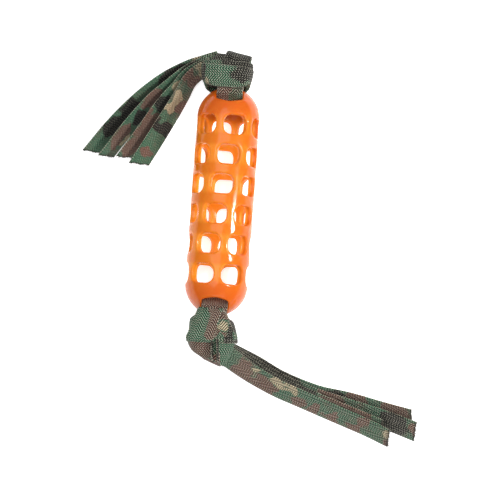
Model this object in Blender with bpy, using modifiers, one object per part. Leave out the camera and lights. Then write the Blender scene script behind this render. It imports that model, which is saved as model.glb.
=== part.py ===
"""Training bumper: a hollow, perforated rubber capsule with two lengths of webbing
looped through a strap slot at each end, knotted over the dome, with four loose tails.

Run with: blender --background --python part.py
Units are metres, +Z is up. The bumper lies along Y. The origin is on the surface it
lies on, under the middle of the rubber body. "Head" is the +Y end, "foot" the -Y end.
"""

import math

import bmesh
import bpy
from mathutils import Matrix, Vector

# Rubber body
BODY_LENGTH = 0.230
BODY_RADIUS = 0.0315
WALL = 0.0068
TURN_STEPS = 36
DOME_STEPS = 6
DOME_CENTRE = BODY_LENGTH / 2 - BODY_RADIUS  # distance of each dome's centre from the middle
AXIS_HEIGHT = BODY_RADIUS  # the body rests on its side

# Perforations: rings of holes, each ring turned a little from its neighbour
RINGS = 6
HOLES_PER_RING = 6
RING_PITCH = 0.0296
RING_TWIST = math.radians(8.85)  # turn from one ring to the next
FOOT_RING_ANGLE = math.radians(-28.8)  # first hole of the ring nearest the foot, from +Z
RIB_WIDTH = 0.0081  # rubber between two holes of a ring, on the outside
WEB_WIDTH = 0.0106  # rubber between two rings
HOLE_POINTS = 12
HOLE_SQUARENESS = 2.5  # exponent of the superellipse, 2 is an ellipse

# Strap slots, one through each dome, cut straight along Z
SLOT_WIDTH = 0.0262
SLOT_NEAR = 0.0139  # nearer edge, from the dome's centre
SLOT_FAR = 0.0245  # farther edge: the rubber beyond it is the bridge that holds the straps
SLOT_CORNER = 0.0024

# Webbing
WEB_STRAP_WIDTH = 0.025
WEB_STRAP_THICKNESS = 0.0016
GAP = 0.0003  # left between pieces that touch
LAYER_PITCH = WEB_STRAP_THICKNESS + GAP

# Loops round the bridge
LOOP_DEPTH = 0.0125  # lowest point of the inner layer's run inside the dome, from the dome's centre
LOOP_BEND = 0.0075  # radius of that run's bend

# Knots
KNOT_CLEARANCE = 0.0360  # radius of the hollow in the knot, about its swing axis

# Tails: thickness of the stack that leaves a knot, then each tail's own stations as
# (x, y, height of the lower edge, lean in degrees), millimetres
TAIL_STACK_PITCH = 0.0023
TAIL_SAMPLES = 22
TAIL_START_GAP = 0.0005
HEAD_EXIT = ((-27.0, 136.5, 16.0, 62.0), (-0.93, -0.36))  # middle of the stack, and its direction
HEAD_TAILS = (
    ((-41.0, 122.5, 9.5, 60.0), (-49.5, 106.5, 3.0, 57.0), (-60.5, 85.0, 0.9, 53.0),
     (-74.5, 58.5, 0.8, 51.0), (-87.7, 34.2, 0.8, 50.0)),
    ((-43.5, 126.0, 9.0, 62.0), (-55.5, 111.5, 3.0, 62.0), (-69.0, 94.5, 0.9, 62.0),
     (-84.0, 69.5, 0.8, 61.0), (-102.8, 39.7, 0.8, 62.0)),
    ((-44.5, 129.5, 8.6, 64.0), (-62.0, 115.5, 3.2, 66.0), (-81.2, 97.0, 0.9, 66.0),
     (-100.5, 71.2, 0.8, 64.0), (-121.4, 39.5, 0.8, 66.0)),
    ((-45.0, 134.0, 8.2, 64.0), (-68.0, 121.0, 3.0, 64.0), (-92.7, 99.5, 0.9, 63.0),
     (-115.5, 72.3, 0.8, 58.0), (-136.0, 43.1, 0.8, 55.0)),
)
FOOT_EXIT = ((17.0, -152.5, 20.0, 34.0), (0.86, -0.5))
FOOT_TAILS = (
    ((39.5, -169.0, 6.0, 40.0), (67.0, -182.5, 1.6, 44.0), (93.0, -192.0, 0.8, 45.0),
     (128.0, -204.5, 0.8, 46.0), (160.5, -216.0, 0.8, 47.0), (183.7, -225.6, 0.8, 49.0)),
    ((41.0, -166.3, 4.6, 42.0), (68.5, -179.6, 1.2, 46.0), (94.5, -188.6, 0.8, 47.0),
     (129.0, -200.0, 0.8, 48.0), (158.0, -209.5, 0.8, 49.0), (176.0, -215.5, 0.8, 50.0)),
    ((42.5, -163.4, 3.6, 44.0), (70.0, -176.5, 1.1, 48.0), (106.0, -188.2, 0.8, 49.0),
     (141.0, -197.0, 0.8, 48.0), (175.0, -206.0, 0.8, 44.0), (210.3, -217.0, 0.8, 40.0)),
    ((44.0, -160.2, 3.0, 47.0), (71.5, -173.2, 1.0, 51.0), (106.5, -184.2, 0.8, 53.0),
     (140.5, -189.5, 0.8, 53.0), (175.0, -197.0, 0.8, 52.0), (205.0, -203.0, 0.8, 51.0)),
)
HEAD_CUT = 10.0  # how much farther a tail's upper edge runs than its lower one
FOOT_CUT = -7.0

ORANGE = (0.90, 0.20, 0.02)
CAMO_GREEN = (0.07, 0.11, 0.05)
MM = 0.001


def clear_scene():
    for obj in list(bpy.data.objects):
        bpy.data.objects.remove(obj)


def new_collection(name):
    collection = bpy.data.collections.new(name)
    bpy.context.scene.collection.children.link(collection)
    return collection


def material(name, colour, roughness):
    mat = bpy.data.materials.new(name)
    mat.use_nodes = True
    shader = mat.node_tree.nodes["Principled BSDF"]
    shader.inputs["Base Color"].default_value = (*colour, 1.0)
    shader.inputs["Roughness"].default_value = roughness
    shader.inputs["Metallic"].default_value = 0.0
    mat.diffuse_color = (*colour, 1.0)
    return mat


def mesh_object(name, bm, collection, mat=None):
    """Turn bm into an object, with its faces pointing out where it is closed."""
    mesh = bpy.data.meshes.new(name)
    bm.to_mesh(mesh)
    bm.free()
    if mat:
        mesh.materials.append(mat)
    obj = bpy.data.objects.new(name, mesh)
    collection.objects.link(obj)
    return obj


def make_cutter(name, bm, collection):
    bmesh.ops.recalc_face_normals(bm, faces=bm.faces)
    obj = mesh_object(name, bm, collection)
    obj.hide_render = True
    obj.display_type = "WIRE"
    return obj


def subtract(obj, cutter):
    cut = obj.modifiers.new(cutter.name, "BOOLEAN")
    cut.operation = "DIFFERENCE"
    cut.solver = "EXACT"
    cut.object = cutter


def loft(bm, rings, closed):
    """Join rings of points with quads; the two ends are capped unless the rings close."""
    rows = [[bm.verts.new(p) for p in ring] for ring in rings]
    pairs = list(zip(rows, rows[1:])) + ([(rows[-1], rows[0])] if closed else [])
    count = len(rows[0])
    for low, high in pairs:
        for i in range(count):
            j = (i + 1) % count
            bm.faces.new((low[i], low[j], high[j], high[i]))
    if not closed:
        bm.faces.new(rows[0])
        bm.faces.new(rows[-1])


# Rubber body ------------------------------------------------------------------


def capsule_profile():
    """Outer half outline of the capsule at +X, top to bottom, turned about Z."""
    quarter = [math.pi / 2 * i / DOME_STEPS for i in range(DOME_STEPS + 1)]
    top = [(BODY_RADIUS * math.sin(a), 0.0, DOME_CENTRE + BODY_RADIUS * math.cos(a)) for a in quarter]
    return top + [(x, y, -z) for x, y, z in reversed(top)]


def capsule(collection, mat):
    bm = bmesh.new()
    verts = [bm.verts.new(p) for p in capsule_profile()]
    for a, b in zip(verts, verts[1:]):
        bm.edges.new((a, b))
    body = mesh_object("rubber_body", bm, collection, mat)
    body.rotation_euler = (-math.pi / 2, 0.0, 0.0)
    body.location = (0.0, 0.0, AXIS_HEIGHT)

    screw = body.modifiers.new("turn", "SCREW")
    screw.axis = "Z"
    screw.steps = TURN_STEPS
    screw.render_steps = TURN_STEPS
    screw.use_merge_vertices = True
    screw.merge_threshold = 0.00001
    screw.use_smooth_shade = True

    shell = body.modifiers.new("wall", "SOLIDIFY")
    shell.thickness = WALL
    shell.offset = -1.0
    return body


def hole_ring(angle, centre_y, radius):
    """Outline of one perforation where it meets the cylinder of the given radius."""
    half_angle = (2 * math.pi / HOLES_PER_RING - RIB_WIDTH / BODY_RADIUS) / 2
    half_height = (RING_PITCH - WEB_WIDTH) / 2
    points = []
    for i in range(HOLE_POINTS):
        t = 2 * math.pi * (i + 0.5) / HOLE_POINTS
        across = math.copysign(abs(math.cos(t)) ** (2 / HOLE_SQUARENESS), math.cos(t))
        along = math.copysign(abs(math.sin(t)) ** (2 / HOLE_SQUARENESS), math.sin(t))
        turn = angle + half_angle * across
        points.append(Vector((
            radius * math.sin(turn),
            centre_y + half_height * along,
            AXIS_HEIGHT + radius * math.cos(turn),
        )))
    return points


def perforation_cutter(collection):
    """All holes as one cutter: each is a loft that narrows towards the body's axis."""
    bm = bmesh.new()
    inner = BODY_RADIUS - 1.6 * WALL
    outer = BODY_RADIUS + WALL
    for ring in range(RINGS):
        centre_y = (ring - (RINGS - 1) / 2) * RING_PITCH
        for hole in range(HOLES_PER_RING):
            angle = FOOT_RING_ANGLE + ring * RING_TWIST + hole * 2 * math.pi / HOLES_PER_RING
            loft(bm, [hole_ring(angle, centre_y, inner), hole_ring(angle, centre_y, outer)], False)
    return make_cutter("perforations", bm, collection)


def slot_cutter(name, end, collection):
    """A straight slot through both sides of a dome, with rounded corners. end is 1 or -1."""
    bm = bmesh.new()
    bmesh.ops.create_cube(bm, size=1.0)
    height = 3 * BODY_RADIUS
    bmesh.ops.scale(bm, vec=(SLOT_WIDTH, SLOT_FAR - SLOT_NEAR, height), verts=bm.verts)
    upright = [e for e in bm.edges if abs((e.verts[0].co - e.verts[1].co).z) > height / 2]
    bmesh.ops.bevel(bm, geom=upright, offset=SLOT_CORNER, segments=3, affect="EDGES", profile=0.5)
    middle = end * (DOME_CENTRE + (SLOT_FAR + SLOT_NEAR) / 2)
    bmesh.ops.translate(bm, vec=(0.0, middle, AXIS_HEIGHT), verts=bm.verts)
    return make_cutter(name, bm, collection)


# Webbing ----------------------------------------------------------------------


def webbing(name, rails, closed, collection, mat):
    """A strap: the strip between two rails, thickened equally to both sides."""
    bm = bmesh.new()
    rows = [[bm.verts.new(p) for p in pair] for pair in rails]
    pairs = list(zip(rows, rows[1:])) + ([(rows[-1], rows[0])] if closed else [])
    for (a, b), (c, d) in pairs:
        bm.faces.new((a, b, d, c))
    strap = mesh_object(name, bm, collection, mat)
    thick = strap.modifiers.new("thickness", "SOLIDIFY")
    thick.thickness = WEB_STRAP_THICKNESS
    thick.offset = 0.0
    return strap


def arc(centre, radius, start, stop, steps):
    """Points on a circle in the (distance from the dome's centre, height) plane."""
    angles = [math.radians(start + (stop - start) * i / steps) for i in range(steps + 1)]
    return [(centre[0] + radius * math.cos(a), centre[1] + radius * math.sin(a)) for a in angles]


def loop_outline(layer):
    """Closed path of one strap round the bridge: over the dome, in at one slot and out at
    the other. Layer 0 touches the bridge, layer 1 lies on layer 0."""
    rise = GAP + WEB_STRAP_THICKNESS / 2 + layer * LAYER_PITCH
    edge_angle = math.degrees(math.acos(SLOT_FAR / BODY_RADIUS))
    edge = (SLOT_FAR, BODY_RADIUS * math.sin(math.radians(edge_angle)))
    over_dome = arc((0.0, 0.0), BODY_RADIUS + rise, 0.0, edge_angle, 6)
    bend = LOOP_BEND + layer * LAYER_PITCH
    bottom = (LOOP_DEPTH + LOOP_BEND, 0.0)
    reach = math.hypot(edge[0] - bottom[0], edge[1])
    slope = math.degrees(math.atan2(edge[1], edge[0] - bottom[0]) - math.asin((bend - rise) / reach))
    round_edge = arc(edge, rise, edge_angle, slope + 90.0, 5)[1:]
    inside = arc(bottom, bend, slope + 90.0, 180.0, 5)
    half = over_dome + round_edge + inside
    return half + [(y, -z) for y, z in reversed(half[1:-1])]


def loop_strap(name, end, layer, collection, mat):
    half = WEB_STRAP_WIDTH / 2
    rails = []
    for out, height in loop_outline(layer):
        y = end * (DOME_CENTRE + out)
        rails.append(((-half, y, AXIS_HEIGHT + height), (half, y, AXIS_HEIGHT + height)))
    return webbing(name, rails, True, collection, mat)


def smooth_through(stations, samples):
    """Catmull-Rom curve through the stations; each station is a tuple of numbers."""
    points = [Vector(s) for s in stations]
    points = [2 * points[0] - points[1]] + points + [2 * points[-1] - points[-2]]
    spans = len(points) - 3
    curve = []
    for k in range(samples + 1):
        place = min(k * spans / samples, spans - 1e-9)
        i = int(place)
        t = place - i
        a, b, c, d = points[i:i + 4]
        curve.append(0.5 * (2 * b + (c - a) * t + (2 * a - 5 * b + 4 * c - d) * t * t
                            + (3 * b - a - 3 * c + d) * t * t * t))
    return curve


def frame_at(direction, side, lean):
    """Width and thickness directions of a strap that runs along direction (flat) and
    leans by lean degrees: 90 stands on edge, less leans towards its side normal."""
    normal = Vector((-direction.y, direction.x, 0.0)) * side
    angle = math.radians(lean)
    width = normal * math.cos(angle) + Vector((0.0, 0.0, math.sin(angle)))
    thickness = normal * math.sin(angle) - Vector((0.0, 0.0, math.cos(angle)))
    return width, thickness


def tail_stations(exit_point, exit_direction, own, rank, side):
    """The tail's stations with its start, which is its place in the stack at the knot."""
    direction = Vector((*exit_direction, 0.0)).normalized()
    width, thickness = frame_at(direction, side, exit_point[3])
    shift = thickness * rank * TAIL_STACK_PITCH / MM
    start = (exit_point[0] + shift.x, exit_point[1] + shift.y, exit_point[2] + shift.z, exit_point[3])
    return [start, *own]


def tail_rails(stations, side, cut, exit_direction):
    """Lower and upper edge of a tail that is cut off at a slant."""
    curve = smooth_through(stations, TAIL_SAMPLES)
    half = WEB_STRAP_WIDTH / 2
    rails = []
    for k, point in enumerate(curve):
        if k == 0:
            direction = Vector((*exit_direction, 0.0))
        else:
            ahead = curve[min(k + 1, TAIL_SAMPLES)] - curve[k - 1]
            direction = Vector((ahead[0], ahead[1], 0.0))
        direction.normalize()
        width, _ = frame_at(direction, side, point[3])
        rise = half * math.sin(math.radians(point[3]))
        centre = Vector((point[0], point[1], point[2])) * MM + Vector((0.0, 0.0, rise))
        slant = direction * (cut * MM / 2) * (k / TAIL_SAMPLES) ** 3
        rails.append((centre - width * half - slant, centre + width * half + slant))
    return rails


def tails(end_name, exit_at, all_own, side, cut, collection, mat):
    """The four tails of one end; number 1 lies nearest to someone looking down on them."""
    exit_point, exit_direction = exit_at
    for number, own in enumerate(all_own):
        rank = number - (len(all_own) - 1) / 2
        stations = tail_stations(exit_point, exit_direction, own, rank, side)
        rails = tail_rails(stations, side, cut, exit_direction)
        webbing(f"{end_name}_tail_{number + 1}", rails, False, collection, mat)


def knot_cage(sections):
    """Coarse cage of a knot: eight-sided sections, each (y, x low, x high, z low, z high)."""
    bm = bmesh.new()
    rings = []
    for y, x_low, x_high, z_low, z_high in sections:
        cx, cz = (x_low + x_high) / 2, (z_low + z_high) / 2
        hx, hz = (x_high - x_low) / 2, (z_high - z_low) / 2
        corners = [(1, 0.5), (0.6, 1), (-0.6, 1), (-1, 0.5), (-1, -0.5), (-0.6, -1), (0.6, -1), (1, -0.5)]
        rings.append([Vector((cx + hx * u, y, cz + hz * v)) * MM for u, v in corners])
    loft(bm, rings, False)
    bmesh.ops.recalc_face_normals(bm, faces=bm.faces)
    return bm


def swing_cutter(name, centre, radius, collection):
    """A cylinder along X: the knot swings about its axis, so it hollows the knot's base."""
    bm = bmesh.new()
    bmesh.ops.create_cone(bm, cap_ends=True, segments=48, radius1=radius, radius2=radius, depth=4 * radius)
    turn = Matrix.Rotation(math.pi / 2, 4, "Y")
    bmesh.ops.transform(bm, matrix=Matrix.Translation(centre) @ turn, verts=bm.verts)
    return make_cutter(name, bm, collection)


def exit_cutter(name, exit_at, side, collection):
    """A block that squares off the knot where the stack of tails comes out of it."""
    (x, y, low, lean), direction = exit_at
    forward = Vector((*direction, 0.0)).normalized()
    width, thickness = frame_at(forward, side, lean)
    size = Vector((0.040, 0.022, 0.034))
    bm = bmesh.new()
    bmesh.ops.create_cube(bm, size=1.0)
    bmesh.ops.scale(bm, vec=size, verts=bm.verts)
    axes = Matrix((forward, thickness, width)).transposed().to_4x4()
    rise = WEB_STRAP_WIDTH / 2 * math.sin(math.radians(lean))
    middle = Vector((x, y, low)) * MM + Vector((0.0, 0.0, rise))
    middle += forward * (size.x / 2 - TAIL_START_GAP)
    bmesh.ops.transform(bm, matrix=Matrix.Translation(middle) @ axes, verts=bm.verts)
    return make_cutter(name, bm, collection)


def knot(name, sections, end, exit_at, side, collection, cutters, mat):
    obj = mesh_object(name, knot_cage(sections), collection, mat)
    soft = obj.modifiers.new("soft", "SUBSURF")
    soft.levels = 2
    soft.render_levels = 2
    dome = Vector((0.0, end * DOME_CENTRE, AXIS_HEIGHT))
    subtract(obj, swing_cutter(f"{name}_hollow", dome, KNOT_CLEARANCE, cutters))
    subtract(obj, exit_cutter(f"{name}_exit", exit_at, side, cutters))
    return obj


HEAD_KNOT = (
    (104.0, -20.0, 13.0, 22.0, 40.0),
    (117.0, -31.0, 21.0, 12.0, 49.0),
    (130.0, -35.0, 26.0, 11.0, 51.0),
    (145.0, -31.0, 23.0, 13.0, 49.0),
    (153.0, -18.0, 17.0, 21.0, 41.0),
)
FOOT_KNOT = (
    (-100.0, -15.0, 12.0, 22.0, 40.0),
    (-116.0, -24.0, 20.0, 12.0, 49.0),
    (-134.0, -30.0, 29.0, 10.0, 51.0),
    (-153.0, -27.0, 27.0, 11.0, 50.0),
    (-170.0, -10.0, 16.0, 18.0, 42.0),
)
HEAD_SIDE = -1  # the head's tails lean to the right of their run, the foot's to the left
FOOT_SIDE = 1


def main():
    clear_scene()
    parts = new_collection("training_bumper")
    cutters = new_collection("cutters")
    rubber = material("orange_rubber", ORANGE, 0.35)
    cloth = material("camo_webbing", CAMO_GREEN, 0.85)

    body = capsule(parts, rubber)
    subtract(body, perforation_cutter(cutters))
    subtract(body, slot_cutter("head_slot", 1, cutters))
    subtract(body, slot_cutter("foot_slot", -1, cutters))

    for end_name, end in (("head", 1), ("foot", -1)):
        loop_strap(f"{end_name}_loop_inner", end, 0, parts, cloth)
        loop_strap(f"{end_name}_loop_outer", end, 1, parts, cloth)

    knot("head_knot", HEAD_KNOT, 1, HEAD_EXIT, HEAD_SIDE, parts, cutters, cloth)
    knot("foot_knot", FOOT_KNOT, -1, FOOT_EXIT, FOOT_SIDE, parts, cutters, cloth)
    tails("head", HEAD_EXIT, HEAD_TAILS, HEAD_SIDE, HEAD_CUT, parts, cloth)
    tails("foot", FOOT_EXIT, FOOT_TAILS, FOOT_SIDE, FOOT_CUT, parts, cloth)


main()
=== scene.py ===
"""Training bumper: a perforated rubber capsule with knotted camouflage webbing at both ends.

Lengths are metres unless a name ends in _mm. The bumper lies along Y, +Z is up.
"""

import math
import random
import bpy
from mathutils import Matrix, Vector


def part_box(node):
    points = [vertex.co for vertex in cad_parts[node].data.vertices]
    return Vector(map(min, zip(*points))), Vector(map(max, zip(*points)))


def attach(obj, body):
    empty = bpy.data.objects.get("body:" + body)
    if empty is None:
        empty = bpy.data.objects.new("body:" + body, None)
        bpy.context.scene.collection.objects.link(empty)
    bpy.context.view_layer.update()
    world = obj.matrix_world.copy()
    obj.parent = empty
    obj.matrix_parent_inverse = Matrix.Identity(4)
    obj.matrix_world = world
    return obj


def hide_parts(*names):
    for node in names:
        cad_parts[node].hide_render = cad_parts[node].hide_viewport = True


bl_info = {
    "name": "Training bumper",
    "version": (1, 0, 0),
    "blender": (4, 5, 0),
    "location": "View3D > Sidebar > Bumper",
    "description": "Builds a perforated rubber training bumper with knotted webbing tails",
    "category": "Object",
}

import bpy
from mathutils import Matrix, Vector, noise

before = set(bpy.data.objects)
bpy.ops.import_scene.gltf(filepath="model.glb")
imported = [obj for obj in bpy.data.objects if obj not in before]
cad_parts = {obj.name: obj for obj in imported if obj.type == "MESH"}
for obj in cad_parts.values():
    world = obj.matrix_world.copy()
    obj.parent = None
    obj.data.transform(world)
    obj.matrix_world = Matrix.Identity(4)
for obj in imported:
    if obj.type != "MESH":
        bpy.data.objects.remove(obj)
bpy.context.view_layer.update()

NOISE_SEED = 2  # left unset, Blender seeds its noise from the clock
MM = 0.001
VECTOR, MIX, NOISE = "ShaderNodeVectorMath", "ShaderNodeMix", "ShaderNodeTexNoise"
RUBBER_LOW, RUBBER_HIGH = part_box("rubber_body")
AXIS_HEIGHT = (RUBBER_LOW.z + RUBBER_HIGH.z) / 2
AXIS_MM = AXIS_HEIGHT / MM
RADIUS_MM = (RUBBER_HIGH.x - RUBBER_LOW.x) / 2 / MM
DOME_MM = RUBBER_HIGH.y / MM - RADIUS_MM  # distance of each dome's centre from the middle
SWING_CLEARANCE_MM = 36.7  # nothing of a knot comes nearer than this to the axis it swings about

# Holes and slots of the rubber ------------------------------------------------

RINGS, HOLES_ROUND = 6, 6
FIRST_RING_ANGLE = math.radians(-28.8)
RIB_MM, WEB_MM = 8.1, 10.6  # rubber between two holes of a ring, and between two rings
HOLE_CORNER_MM = 7.7
SLOT_MIDDLE_MM = 19.2  # from the dome's centre
SLOT_HALF_MM = (13.1, 5.3)
SLOT_CORNER_MM, SLOT_RIM_MM = 2.4, 2.0
SLOT_BOW, SLOT_BOW_SPAN_MM = 0.8, 13.0
VOXEL_MM, QUICK_VOXEL_MM = 0.86, 1.3
FIELD_LEVEL = 10.0  # lifts the field above nothing, where the volume's surface is taken
FIELD_MARGIN_MM = 2.5

# Straps, as they lie -----------------------------------------------------------

ACROSS = 10  # faces across a strap
LOOP_DEPTH_MM, LOOP_BEND_MM = 12.5, 7.5
SLOT_FAR_MM = 24.5
LAYER_GAP_MM = 0.3
EDGE_TURNS = [math.radians(turn) for turn in (45, 90, 135)]  # a strap's rounded edge
TAIL_STACK_MM = 2.3
TAIL_TUCK_MM = 15.0  # how far a tail runs back into its knot
CUT_DARKENS = 0.0028  # how far up a strap its cut end is dark

# A tail's stations are (x, y, height of the lower edge, lean in degrees).
HEAD_EXIT = ((-27, 136.5, 16, 62), (-0.93, -0.36))
HEAD_TAILS = (
    ((-41, 122.5, 9.5, 60), (-49.5, 106.5, 3, 57), (-60.5, 85, 0.9, 53),
     (-74.5, 58.5, 0.8, 51), (-87.7, 34.2, 0.8, 50)),
    ((-43.5, 126, 9, 62), (-55.5, 111.5, 3, 62), (-69, 94.5, 0.9, 62),
     (-84, 69.5, 0.8, 61), (-102.8, 39.7, 0.8, 62)),
    ((-44.5, 129.5, 8.6, 64), (-62, 115.5, 3.2, 66), (-81.2, 97, 0.9, 66),
     (-100.5, 71.2, 0.8, 64), (-121.4, 39.5, 0.8, 66)),
    ((-45, 134, 8.2, 64), (-68, 121, 3, 64), (-92.7, 99.5, 0.9, 63),
     (-115.5, 72.3, 0.8, 58), (-136, 43.1, 0.8, 55)),
)
FOOT_EXIT = ((17, -152.5, 20, 34), (0.86, -0.5))
FOOT_TAILS = (
    ((39.5, -169, 6, 40), (67, -182.5, 1.6, 44), (93, -192, 0.8, 45),
     (128, -204.5, 0.8, 46), (160.5, -216, 0.8, 47), (183.7, -225.6, 0.8, 49)),
    ((41, -166.3, 4.6, 42), (68.5, -179.6, 1.2, 46), (94.5, -188.6, 0.8, 47),
     (129, -200, 0.8, 48), (158, -209.5, 0.8, 49), (176, -215.5, 0.8, 50)),
    ((42.5, -163.4, 3.6, 44), (70, -176.5, 1.1, 48), (106, -188.2, 0.8, 49),
     (141, -197, 0.8, 48), (175, -206, 0.8, 44), (210.3, -217, 0.8, 40)),
    ((44, -160.2, 3, 47), (71.5, -173.2, 1, 51), (106.5, -184.2, 0.8, 53),
     (140.5, -189.5, 0.8, 53), (175, -197, 0.8, 52), (205, -203, 0.8, 51)),
)
HEAD_CUT_MM, FOOT_CUT_MM = 10, -7  # how much farther a tail's upper edge runs than its lower one
HEAD_SIDE, FOOT_SIDE = -1, 1

BROWN, TAN, BLACK = range(3)  # channels of the "print" attribute
GREEN = None  # the cloth's ground, which has no channel
# Where the print, or painted shade, shows a colour for certain: (along, across, half length, half width,
# colour), mm.
STRAP_PRINT_AND_SHADE = {
    "head_tail_1_strap": (
        (20, 12, 9, 14, TAN), (34, 12, 8, 14, BROWN), (46, 14, 7, 12, GREEN), (58, 16, 9, 8, TAN),
        (70, 19, 8, 6, TAN), (64, 5, 9, 6, BROWN), (80, 12, 7, 14, GREEN), (94, 12, 7, 16, BLACK),
        (110, 12, 8, 14, GREEN), (122, 15, 5, 9, BROWN), (138, 10, 10, 16, GREEN)),
    "head_tail_2_strap": (
        (30, 12, 14, 14, GREEN), (52, 14, 9, 10, TAN), (76, 12, 12, 14, BLACK), (104, 12, 18, 14, BROWN),
        (130, 16, 9, 10, BROWN)),
    "head_tail_3_strap": (
        (30, 12, 14, 14, BLACK), (54, 12, 12, 14, GREEN), (80, 12, 12, 14, BROWN), (102, 10, 9, 12, BLACK),
        (128, 16, 14, 9, BROWN), (132, 6, 9, 6, TAN)),
    "head_tail_4_strap": (
        (22, 12, 9, 14, TAN), (48, 12, 20, 14, BLACK), (84, 14, 12, 12, GREEN), (104, 12, 14, 14, BLACK),
        (132, 12, 12, 14, BLACK), (152, 12, 10, 14, GREEN)),
    "foot_tail_1_strap": (
        (18, 12, 9, 16, GREEN), (38, 10, 12, 13, BROWN), (52, 18, 8, 5, TAN), (66, 8, 13, 11, BROWN),
        (77, 20, 9, 5, TAN), (88, 8, 6, 9, GREEN), (95, 19, 9, 6, TAN), (103, 6, 6, 9, BROWN),
        (112, 16, 6, 8, GREEN), (121, 7, 6, 9, BROWN), (131, 17, 7, 8, GREEN), (141, 8, 6, 8, BROWN),
        (153, 14, 9, 10, GREEN), (164, 5, 5, 6, BROWN), (173, 18, 6, 6, BROWN), (184, 10, 10, 12, GREEN),
        (200, 18, 7, 6, TAN), (204, 6, 5, 7, BROWN)),
    # Painted shade: the long black patch at the root of foot tails 2 to 4 stands for the shadow of tail 1
    # over them.
    "foot_tail_2_strap": ((40, 12, 60, 22, BLACK), (105, 12, 20, 16, BLACK), (150, 12, 26, 18, BROWN)),
    "foot_tail_3_strap": (
        (45, 12, 60, 22, BLACK), (130, 12, 16, 16, BROWN), (165, 12, 12, 14, GREEN), (200, 12, 16, 16, BLACK),
        (222, 16, 8, 8, BROWN)),
    "foot_tail_4_strap": (
        (45, 12, 55, 22, BLACK), (110, 12, 12, 16, GREEN), (134, 12, 12, 14, BLACK), (156, 12, 10, 14, BROWN),
        (172, 14, 8, 12, GREEN), (194, 12, 14, 14, BROWN)),
}
# The same for what lies on top of a knot, by place: (x, y, half x, half y, colour), mm.
KNOT_TOP_PRINT_AND_SHADE = {
    "head_knot_front_wrap": ((-13, 126, 10, 13, GREEN), (3, 125, 6, 8, BLACK), (15, 128, 8, 9, BLACK),
                             (-27, 126, 3, 8, BLACK), (-24, 115, 3, 6, TAN),
                             (9, 114, 9, 5, GREEN)),
    "head_knot_inner_wrap": ((4, 136, 24, 6, BLACK), (-14, 137, 6, 5, GREEN)),
    "head_knot_top_wrap": ((0, 142, 30, 14, BLACK),),
    "head_knot_end_fold": ((2, 141, 30, 14, BLACK),),
    "head_strap_outer": ((-7, 106, 8, 12, BROWN), (8, 106, 6, 12, GREEN)),
    "foot_strap_outer": ((0, -103, 20, 8, BROWN),),
    "foot_knot_left_strap": ((-13, -124, 8, 18, GREEN), (0, -115, 6, 8, BROWN), (1, -131, 7, 8, BROWN)),
    "foot_knot_right_strap": ((4, -116, 8, 9, BROWN), (8, -125, 6, 7, TAN), (5, -134, 8, 6, BROWN),
                              (19, -127, 5, 12, BLACK)),
    "foot_knot_inner_wrap": ((-21, -124, 6, 14, GREEN), (18, -126, 8, 14, BLACK)),
    "foot_knot_collar": ((-20, -136, 8, 10, GREEN), (20, -134, 9, 10, BLACK)),
    "foot_knot_lower_wrap": ((-12, -150, 12, 10, BROWN), (12, -150, 8, 10, GREEN)),
    "foot_knot_end_fold": ((-6, -152, 12, 10, BROWN), (6, -158, 8, 8, BROWN)),
    # Painted shade: the foot knot's two folds are printed black, for the shade in the creases between them.
    "foot_knot_fold_1": ((1, -150, 9, 18, BLACK),),
    "foot_knot_fold_2": ((7, -150, 9, 18, BLACK),),
}

# Knots: each wrap is a band between two rounded rectangles about the knot's long axis:
# (middle x, half width, half depth, y, how y rises to +X, how y rises to +Z), mm.
HEAD_CORE = ((108, -4, 15, 17), (114, -4, 18, 19), (121, -4.5, 21.5, 19),
             (132, -4.5, 23.5, 18), (140, -2, 18.5, 15), (145, 0, 12, 10))
HEAD_WRAPS = {
    "head_knot_top_wrap": ((-3.5, 23.5, 18, 127, 0, 0), (0, 15.5, 12, 146, -1.5, 0), 0.8),
    "head_knot_inner_wrap": ((-4.2, 20.8, 20, 118, 0, 0), (-3.5, 24, 19.6, 138, 0, 0.5), 1.2),
    "head_knot_front_wrap": ((-4, 19.5, 22.6, 110.5, 0, 0), (-4.5, 25.8, 22.6, 133.3, -1.5, 0), 1.2),
}
FOOT_CORE = ((-107, -3, 12, 18), (-118, -1, 15.5, 19), (-135, -0.5, 21.5, 17.5),
             (-149, -2, 18.5, 14.5), (-156, 0, 12, 10), (-160, 2, 6, 6))
FOOT_WRAPS = {
    "foot_knot_inner_wrap": ((-2.6, 18.2, 19.4, -111, -4, 0), (0.3, 24, 19.6, -138, 1.5, 0), 1),
    "foot_knot_collar": ((-0.6, 18.6, 20.6, -120, -2, 0), (-0.3, 25, 18.6, -141.5, 0.5, 0), 1),
    "foot_knot_lower_wrap": ((-0.8, 24.2, 17.6, -135, 0, 0), (-3.5, 15.5, 12.6, -157.5, -7, 0), 1.6),
}
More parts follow.
